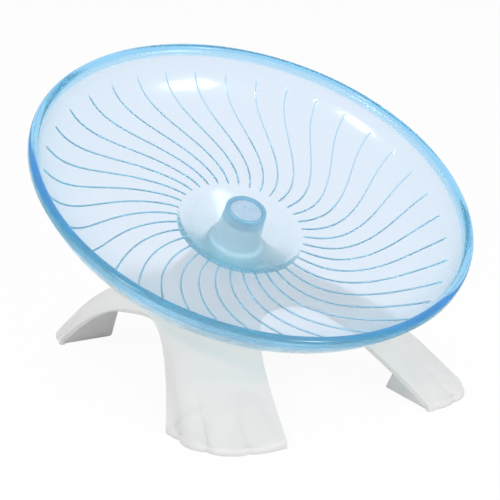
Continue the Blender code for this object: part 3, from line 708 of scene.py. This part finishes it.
# Rows over which the seams of legs and column are evened out: all across, and at a leg's side
EASED_ROWS = (5, 7, SHOULDER_ROW + 7, SHOULDER_ROW + 14)
EASED_SIDE_ROWS = (TOE_ROW - 18, TOE_ROW - 12, TOE_ROW - 2, TOE_ROW)
EASED_SIDE_START = 0.80
EASED_SIDE_BLEND = 0.06
EASED_SHARE = 0.6
EASE_ROUNDS = 60

# The inner skin keeps off the ground in the last rows before the toes, and its rim there stays sharp
INNER_FOOT_ROWS = 4
INNER_FOOT_LEVEL = 0.0004
SHARP_RIM_LEVEL = 0.0006

# Walls under the feet: how far they stay inside the skin and above the ground, and where the
# fork's two walls meet the toes and part
WEB_INSET = 0.0015
WEB_CLEARANCE = 0.0005
WEB_LIFT = 0.0002
FORK_INSET = 0.0017
FORK_PLACES = (0.41, 0.72)
FORK_PARTING = 0.0022
FORK_REACH = 1.2
FORK_LIFT = 0.0004
HEEL_STEPS = 8
WALL_SPACING = 0.003
LEAST_WALL_HEIGHT = 0.0005

BOSS_SIDES = 64


def toe_columns():
    """Places across a foot from its end edge (0) to its side edge (1)."""
    ends = (0.0, *TOE_SHARES, 1.0)
    columns = [mix(low, high, step) for low, high in zip(ends, ends[1:]) for step in TOE_STEPS]
    return columns + [1.0]


def toe_fullness(place):
    """One along a foot's front, fading to zero at its two edges."""
    return 1 - abs(2 * place - 1) ** TOE_END_POWER


def foot_size(stand, side):
    if side > 0:
        return stand.downhill_length, stand.downhill_width, stand.downhill_edge
    return stand.uphill_length, stand.uphill_width, stand.uphill_edge


def toe_outline(stand, place, inset, side):
    """Point on the foot's outer edge: a straight end, a round corner and a straight side."""
    half_length, half_width, side_edge = foot_size(stand, side)
    radius = stand.corner_radius
    end_run = half_width - radius - stand.end_edge
    side_run = half_length - radius - side_edge
    arc_run = radius * math.pi / 2
    along = place * (end_run + arc_run + side_run)
    turn = min(max((along - end_run) / arc_run, 0.0), 1.0) * math.pi / 2
    x = half_length - radius + (radius - inset) * math.cos(turn) - max(along - end_run - arc_run, 0.0)
    y = half_width - radius + (radius - inset) * math.sin(turn) - max(end_run - along, 0.0)
    return x, y


def notch(place):
    """How deep in a notch a place across the foot is: round over each toe, sharp between them."""
    ends = (0.0, *TOE_SHARES, 1.0)
    toe = max(index for index in range(len(TOE_SHARES) + 1) if place >= ends[index])
    part = (place - ends[toe]) / (ends[toe + 1] - ends[toe])
    if toe == 0:
        off = part
    elif toe == len(TOE_SHARES):
        off = 1 - part
    else:
        off = abs(2 * part - 1)
    return (1 - math.sqrt(1 - TOE_ROUNDNESS * off * off)) / (1 - math.sqrt(1 - TOE_ROUNDNESS))


def end_arch(stand, t, side):
    along_power, down_power = END_POWERS[side]
    half_length, _, _ = foot_size(stand, side)
    x = mix(stand.end_reach, half_length, t ** along_power)
    z = stand.end_height * (1 - t ** down_power) + mix(stand.edge_rise, stand.toe_height, t)
    return Vector((x, stand.end_edge * t, z))


def side_arch(stand, t, side):
    _, half_width, side_edge = foot_size(stand, side)
    along_power, across_power, down_power = SIDE_POWERS[side]
    y = mix(stand.side_reach, half_width, t ** across_power)
    z = stand.side_height * (1 - t ** down_power) + mix(stand.edge_rise, stand.toe_height, t)
    return Vector((side_edge * t ** along_power, y, z))


def shoulder_point(stand, place):
    turn = place * math.pi / 2
    height = mix(stand.end_height, stand.side_height, place) + stand.edge_rise
    height += stand.crown * (4 * place * (1 - place)) ** 2
    return Vector((stand.end_reach * math.cos(turn), stand.side_reach * math.sin(turn), height))


def column_point(place, side, radius):
    """Point on the column's leaning top, at a radius about the axle."""
    turn = place * math.pi / 2
    on_axle = Vector((radius * math.cos(turn) * side, radius * math.sin(turn), 0.0))
    point = AXLE_FRAME @ on_axle - STAND_MIDDLE
    return Vector((point.x * side, point.y, point.z))


def flare_point(stand, place, down, side):
    top = column_point(place, side, stand.column_radius)
    foot = shoulder_point(stand, place)
    point = top.lerp(foot, down)
    point.z = mix(foot.z, top.z, (1 - down) ** FLARE_POWER)
    return point


def leg_point(stand, place, t, side, toes):
    """Top of a leg: place goes across it and t runs from the shoulder down to the toes."""
    def between_arches(down):
        return end_arch(stand, down, side).lerp(side_arch(stand, down, side), place)

    shoulder = shoulder_point(stand, place) - between_arches(0.0)
    edge = Vector((*toe_outline(stand, place, 0.0, side), stand.toe_height))
    toe = edge - between_arches(1.0)
    point = between_arches(t) + shoulder * (1 - t) + toe * t
    fade = smooth_step((t - GROOVE_START) / (1 - GROOVE_START))
    dip = notch(place) * toes
    inset = stand.toe_rounding * toe_fullness(place) + stand.notch_depth * dip
    rounded = Vector((*toe_outline(stand, place, inset, side), stand.toe_height))
    point += (rounded - edge) * fade
    point.z -= stand.groove_depth * dip * fade
    return point


def stand_rows(stand, side, toes):
    """Rows of points from the column's bore over its top and down a leg to the ground."""
    columns = toe_columns()
    bore, column = stand.bore_radius, stand.column_radius
    radii = [bore, *(mix(bore, column, part) for part in COLUMN_TOP_STEPS), column - COLUMN_TOP_EDGE]
    rows = [[column_point(place, side, radius) for place in columns] for radius in radii]
    flare = [FLARE_START] + [(step / FLARE_STEPS) ** FLARE_SPACING for step in range(1, FLARE_STEPS)]
    rows += [[flare_point(stand, place, down, side) for place in columns] for down in flare]
    leg = [1 - (1 - step / LEG_STEPS) ** LEG_SPACING for step in range(LEG_STEPS + 1)]
    rows += [[leg_point(stand, place, t, side, toes) for place in columns] for t in leg]
    for drop, rounding in TOE_NOSES:
        row = []
        for place in columns:
            inset = (stand.notch_depth * notch(place) * toes
                     + stand.toe_rounding * rounding * toe_fullness(place))
            x, y = toe_outline(stand, place, inset, side)
            row.append(Vector((x, y, stand.toe_height * (1 - drop))))
        rows.append(row)
    return rows


def over_rows(index, rows):
    """Rises from 0 to 1 over the first two rows and falls back over the last two."""
    rise_start, rise_end, fall_start, fall_end = rows
    rise = smooth_step((index - rise_start) / (rise_end - rise_start))
    return rise * (1 - smooth_step((index - fall_start) / (fall_end - fall_start)))


def skin_grid(stand, toes):
    """Mesh of the stand's whole skin, its rows of points by quarter, and how far each may be eased."""
    bm = bmesh.new()
    shared, ease, quarters = {}, {}, {}
    sides = [smooth_step((place - EASED_SIDE_START) / EASED_SIDE_BLEND) * EASED_SHARE
             for place in toe_columns()]
    for side_x in (1, -1):
        rows = stand_rows(stand, side_x, toes)
        last = len(rows[0]) - 1
        for side_y in (1, -1):
            grid = []
            for index, row in enumerate(rows):
                eased = over_rows(index, EASED_ROWS)
                side_eased = over_rows(index, EASED_SIDE_ROWS)
                line = []
                for column, point in enumerate(row):
                    key = (index, column, side_x, side_y)
                    if index <= SHOULDER_ROW and column == 0:
                        key = (index, column, side_x, 0)
                    elif index <= SHOULDER_ROW and column == last:
                        key = (index, column, 0, side_y)
                    if key not in shared:
                        shared[key] = bm.verts.new((point.x * side_x, point.y * side_y, point.z))
                        ease[shared[key]] = max(eased, side_eased * sides[column])
                    line.append(shared[key])
                grid.append(line)
            for upper, lower in zip(grid, grid[1:]):
                for i in range(last):
                    corners = (upper[i], upper[i + 1], lower[i + 1], lower[i])
                    bm.faces.new(corners if side_x * side_y < 0 else tuple(reversed(corners)))
            quarters[side_x, side_y] = grid
    return bm, quarters, ease


def ease_joins(ease):
    """Evens out the skin where legs and column join, so that it runs smoothly across the seams."""
    inner = [(vert, part) for vert, part in ease.items() if part > 0.0 and not vert.is_boundary]
    for _ in range(EASE_ROUNDS):
        moves = []
        for vert, part in inner:
            around = [edge.other_vert(vert).co for edge in vert.link_edges]
            middle = sum(around, Vector()) / len(around)
            moves.append((middle - vert.co) * (part * EASED_SHARE))
        for (vert, _), move in zip(inner, moves):
            vert.co += move


def stand_skin(stand):
    """Outer skin with its toes, joined to an even inner skin without their notches."""
    outer, outer_quarters, outer_ease = skin_grid(stand, 1.0)
    ease_joins(outer_ease)
    smooth, smooth_quarters, smooth_ease = skin_grid(stand, 0.0)
    ease_joins(smooth_ease)
    smooth.normal_update()
    below = {}
    for corner, grid in smooth_quarters.items():
        for index, line in enumerate(grid):
            for column, vert in enumerate(line):
                top = outer_quarters[corner][index][column]
                if top in below:
                    continue
                place = vert.co - vert.normal * stand.skin
                if index > TOE_ROW:
                    above = below[outer_quarters[corner][TOE_ROW][column]].co
                    left = 1 - (index - TOE_ROW) / (len(grid) - 1 - TOE_ROW)
                    place = Vector((above.x, above.y, above.z * left))
                elif index >= TOE_ROW - INNER_FOOT_ROWS:
                    place.z = max(place.z, INNER_FOOT_LEVEL)
                below[top] = outer.verts.new(place)
    outer_tree = BVHTree.FromBMesh(outer)
    rim = [edge for edge in outer.edges if edge.is_boundary]
    for face in list(outer.faces):
        outer.faces.new([below[vert] for vert in reversed(face.verts)])
    for edge in rim:
        first, second = edge.link_loops[0].vert, edge.link_loops[0].link_loop_next.vert
        outer.faces.new((second, first, below[first], below[second]))
    soft = [edge for edge in rim if max(vert.co.z for vert in edge.verts) > SHARP_RIM_LEVEL
            and min(math.hypot(vert.co.x, vert.co.y) for vert in edge.verts) > stand.column_radius]
    smooth.free()
    bmesh.ops.bevel(outer, geom=soft, offset=stand.edge_rounding, segments=4, profile=0.5,
                    affect="EDGES", clamp_overlap=True)
    return outer, outer_tree


def web_outline(stand, side):
    """Plan of the bent wall under one foot."""
    half_length, half_width, side_edge = foot_size(stand, side)
    near = Vector((half_length - WEB_INSET, stand.end_edge + WEB_CLEARANCE))
    far = Vector((side_edge + WEB_CLEARANCE, half_width - WEB_INSET))
    heel = Vector((stand.heel_x, stand.heel_y))
    to_near, to_far = (near - heel).normalized(), (far - heel).normalized()
    half = to_near.angle(to_far) / 2
    centre = heel + (to_near + to_far).normalized() * (stand.heel_radius / math.sin(half))
    start = math.atan2(-to_near.x, to_near.y)
    outer, inner = [near], [near + (far - near).normalized() * stand.web_wall]
    for step in range(HEEL_STEPS + 1):
        turn = start + (2 * half - math.pi) * step / HEEL_STEPS
        spoke = Vector((math.cos(turn), math.sin(turn)))
        outer.append(centre + spoke * stand.heel_radius)
        inner.append(centre + spoke * (stand.heel_radius - stand.web_wall))
    outer.append(far)
    inner.append(far + (near - far).normalized() * stand.web_wall)
    return outer, inner


def fork_outline(stand, side):
    """Plan of the two straight walls inside one foot."""
    heel = Vector((stand.heel_x, stand.heel_y))
    toes = [Vector(toe_outline(stand, place, FORK_INSET, side)) for place in FORK_PLACES]
    first, second = [(toe - heel).normalized() for toe in toes]
    parting = heel + (first + second).normalized() * FORK_PARTING
    first, second = [(toe - parting).normalized() for toe in toes]
    first_side = Vector((-first.y, first.x)) * stand.web_wall / 2
    second_side = Vector((-second.y, second.x)) * stand.web_wall / 2
    reach = FORK_REACH * stand.web_wall / 2 / math.tan(first.angle(second) / 2)
    outer = [toes[0] - first_side, parting - first_side, parting + second_side, toes[1] + second_side]
    inner = [toes[0] + first_side, parting + first * reach + first_side]
    inner += [parting + second * reach - second_side, toes[1] - second_side]
    return outer, inner


def even_pairs(outer, inner, step):
    """Two lines of the same number of points, split alike."""
    first, second = [outer[0]], [inner[0]]
    for index in range(1, len(outer)):
        span = max((outer[index] - outer[index - 1]).length, (inner[index] - inner[index - 1]).length)
        count = max(1, math.ceil(span / step))
        first += [outer[index - 1].lerp(outer[index], part / count) for part in range(1, count + 1)]
        second += [inner[index - 1].lerp(inner[index], part / count) for part in range(1, count + 1)]
    return first, second


def add_walls(bm, stand, skin_tree, plan, lift):
    """Walls under the four feet that lean with the axle and end inside the skin."""
    up = Vector((math.tan(AXLE_TILT), 0.0, 1.0)).normalized()
    for side_x in (1, -1):
        outer, inner = even_pairs(*plan(stand, side_x), WALL_SPACING)
        for side_y in (1, -1):
            rows = []
            for line in (outer, inner):
                low, high = [], []
                for point in line:
                    foot = Vector((point.x * side_x, point.y * side_y, lift))
                    hit, _, _, _ = skin_tree.ray_cast(foot, up)
                    top = foot if hit is None else hit - up * stand.skin * 0.5
                    if top.z < lift + LEAST_WALL_HEIGHT:
                        top = foot + up * LEAST_WALL_HEIGHT
                    low.append(bm.verts.new(foot))
                    high.append(bm.verts.new(top))
                rows.append((low, high))
            (low_out, top_out), (low_in, top_in) = rows
            for i in range(len(outer) - 1):
                bm.faces.new((low_out[i], low_out[i + 1], top_out[i + 1], top_out[i]))
                bm.faces.new((low_in[i], top_in[i], top_in[i + 1], low_in[i + 1]))
                bm.faces.new((low_out[i], low_in[i], low_in[i + 1], low_out[i + 1]))
                bm.faces.new((top_out[i], top_out[i + 1], top_in[i + 1], top_in[i]))
            for end in (0, -1):
                bm.faces.new((low_out[end], top_out[end], top_in[end], low_in[end]))


def add_boss(bm, stand):
    """Tube round the spindle under the column's top."""
    turns = even_turns(BOSS_SIDES)
    outline = rounded_outline([
        (stand.bore_radius, -stand.skin / 2, 0.0), (stand.boss_radius, -stand.skin / 2, 0.0),
        (stand.boss_radius, -stand.boss_length, 0.0005),
        (stand.bore_radius, -stand.boss_length, 0.0003)])
    rings = [add_ring(bm, radius, level, turns) for radius, level in outline]
    join_rings(bm, rings, closed=True)
    place = Matrix.Translation(-STAND_MIDDLE) @ AXLE_FRAME
    bmesh.ops.transform(bm, matrix=place, verts=[vert for ring in rings for vert in ring])


def mould_stand(stand, material):
    """Skin with its legs and toes, and the walls and boss under it."""
    bm, outer_tree = stand_skin(stand)
    add_walls(bm, stand, outer_tree, web_outline, WEB_LIFT)
    add_walls(bm, stand, outer_tree, fork_outline, FORK_LIFT)
    add_boss(bm, stand)
    make_piece("milky_stand", bm, material, "stand", "stand",
               Matrix.Translation(STAND_MIDDLE), sharp=math.radians(50))


# Stage

def camera_like_rays(tree):
    """One for a ray from the camera, straight or by gloss or glass, and zero for other light."""
    path = tree.nodes.new("ShaderNodeLightPath")
    total = path.outputs["Is Camera Ray"]
    for ray in ("Is Glossy Ray", "Is Transmission Ray"):
        total = add_math(tree, "MAXIMUM", total, path.outputs[ray])
    return total


def light_world(studio):
    """Soft white light from all round, and plain white behind the wheel."""
    world = bpy.data.worlds.new("soft_white")
    bpy.context.scene.world = world
    world.use_nodes = True
    tree = world.node_tree
    strength = add_range(tree, camera_like_rays(tree), NONE_TO_ALL, (studio.world_strength, 1.0))
    set_inputs(tree, tree.nodes["Background"], {"Color": (1.0, 1.0, 1.0), "Strength": strength})


def lay_floor(studio):
    """White floor that keeps the wheel's shadow."""
    bm = bmesh.new()
    bmesh.ops.create_grid(bm, x_segments=2, y_segments=2, size=studio.floor_size / 2)
    material, tree, shader = new_material("white_floor")
    floor = add_mesh_object("floor", bm, material)
    matt = {"Base Color": (0.9, 0.9, 0.9), "Roughness": 0.9, "Specular IOR Level": 0.0}
    set_inputs(tree, shader, matt)
    glow = add_node(tree, "Emission", {"Strength": 1.0}, "Emission")
    part = add_range(tree, camera_like_rays(tree), NONE_TO_ALL, (0.0, studio.floor_glow))
    blend = add_shader_mix(tree, part, shader.outputs["BSDF"], glow)
    set_inputs(tree, tree.nodes["Material Output"], {"Surface": blend})


# Each lamp's place, the point that it faces, its width and its height
LEFT_LAMP = ((0.477, -0.802, 0.720), (-0.028, 0.074, 0.091), 0.12, 0.10)
RIGHT_LAMP = ((0.947, 0.307, 0.692), (-0.066, 0.012, 0.109), 0.13, 0.11)


def hang_lamp(name, power, place, target, width, height):
    lamp = bpy.data.lights.new(name, "AREA")
    lamp.shape = "ELLIPSE"
    lamp.size = width
    lamp.size_y = height
    lamp.energy = power
    holder = add_object(name, lamp)
    holder.location = place
    holder.rotation_euler = (Vector(target) - Vector(place)).to_track_quat("-Z", "Y").to_euler()


# The camera, from the stand's middle, with the directions to its right and above it
CAMERA_PLACE = Vector((0.4051, -0.2393, 0.1737))
CAMERA_RIGHT = Vector((0.5156, 0.8568, 0.0))
CAMERA_UP = Vector((-0.2218, 0.1334, 0.9659))
SENSOR_WIDTH = 36.0


def place_camera(studio):
    camera = bpy.data.cameras.new("camera")
    camera.lens = studio.lens
    camera.sensor_width = SENSOR_WIDTH
    camera.clip_start = 0.01
    holder = add_object("camera", camera)
    right = CAMERA_RIGHT.normalized()
    back = right.cross(CAMERA_UP).normalized()
    up = back.cross(right)
    turn = Matrix((right, up, back)).transposed().to_4x4()
    holder.matrix_world = Matrix.Translation(CAMERA_PLACE + STAND_MIDDLE) @ turn
    bpy.context.scene.camera = holder


def follow_led_light(scene):
    """Rays are followed long enough for light that is led round inside the clear rim."""
    scene.cycles.max_bounces = 32
    scene.cycles.glossy_bounces = 24
    scene.cycles.transmission_bounces = 24


# Operators

NYLON_NODES = ("thrust_washer", "bearing_cage", "bearing_keeper")


class WHEEL_OT_dish(bpy.types.Operator):
    """Mould the clear running dish with its ribs, lip, well and hub"""

    bl_idname = "wheel.dish"
    bl_label = "Running dish"

    def execute(self, context):
        mould_dish(context.scene.wheel_dish, clear_blue_plastic(context.scene.wheel_colours))
        return {"FINISHED"}


class WHEEL_OT_cap(bpy.types.Operator):
    """Mould the cap in the dish's hub"""

    bl_idname = "wheel.cap"
    bl_label = "Hub cap"

    def execute(self, context):
        mould_cap(context.scene.wheel_cap, frosted_cap_plastic(context.scene.wheel_colours))
        return {"FINISHED"}


class WHEEL_OT_stand(bpy.types.Operator):
    """Mould the milky stand with its legs, toes and inner walls"""

    bl_idname = "wheel.stand"
    bl_label = "Stand"

    def execute(self, context):
        mould_stand(context.scene.wheel_stand, milky_plastic(context.scene.wheel_colours))
        return {"FINISHED"}


class WHEEL_OT_fittings(bpy.types.Operator):
    """Give the bearing, bolt, nut, washers and bush their finishes"""

    bl_idname = "wheel.fittings"
    bl_label = "Bearing and spindle"

    def execute(self, context):
        steel = turned_steel(context.scene.wheel_colours)
        nylon = slippery_nylon(context.scene.wheel_colours)
        for name, node in frame["nodes"].items():
            if not node.hide_render:
                node.data.materials.clear()
                node.data.materials.append(nylon if name in NYLON_NODES else steel)
        return {"FINISHED"}


class WHEEL_OT_studio(bpy.types.Operator):
    """Lay the floor, hang the lamps and place the camera"""

    bl_idname = "wheel.studio"
    bl_label = "Studio"

    def execute(self, context):
        studio = context.scene.wheel_studio
        light_world(studio)
        lay_floor(studio)
        hang_lamp("left_lamp", studio.left_power, *LEFT_LAMP)
        hang_lamp("right_lamp", studio.right_power, *RIGHT_LAMP)
        place_camera(studio)
        context.scene.view_settings.view_transform = "Standard"
        follow_led_light(context.scene)
        return {"FINISHED"}


GROUPS = (
    ("wheel_dish", DishSizes, "Dish"),
    ("wheel_cap", CapSizes, "Hub cap"),
    ("wheel_stand", StandSizes, "Stand"),
    ("wheel_colours", WheelColours, "Colours"),
    ("wheel_studio", StudioSettings, "Studio"),
)
OPERATORS = (WHEEL_OT_dish, WHEEL_OT_cap, WHEEL_OT_stand, WHEEL_OT_fittings, WHEEL_OT_studio)


class WHEEL_PT_sidebar(bpy.types.Panel):
    """Sizes, colours and steps of the wheel"""

    bl_label = "Pet Wheel"
    bl_idname = "WHEEL_PT_sidebar"
    bl_space_type = "VIEW_3D"
    bl_region_type = "UI"
    bl_category = "Pet Wheel"

    def draw(self, context):
        for attribute, group, title in GROUPS:
            box = self.layout.box()
            box.label(text=title)
            for name in group.__annotations__:
                label = name.replace("_", " ").capitalize()
                box.prop(getattr(context.scene, attribute), name, text=label)
        for operator in OPERATORS:
            self.layout.operator(operator.bl_idname)


def register():
    for _, group, _ in GROUPS:
        bpy.utils.register_class(group)
    for operator in OPERATORS:
        bpy.utils.register_class(operator)
    bpy.utils.register_class(WHEEL_PT_sidebar)
    for attribute, group, _ in GROUPS:
        setattr(bpy.types.Scene, attribute, PointerProperty(type=group))


def unregister():
    for attribute, _, _ in GROUPS:
        delattr(bpy.types.Scene, attribute)
    bpy.utils.unregister_class(WHEEL_PT_sidebar)
    for operator in reversed(OPERATORS):
        bpy.utils.unregister_class(operator)
    for _, group, _ in reversed(GROUPS):
        bpy.utils.unregister_class(group)


def main():
    register()
    bpy.ops.wheel.dish()
    bpy.ops.wheel.cap()
    bpy.ops.wheel.stand()
    bpy.ops.wheel.fittings()
    bpy.ops.wheel.studio()


if __name__ == "__main__":
    main()
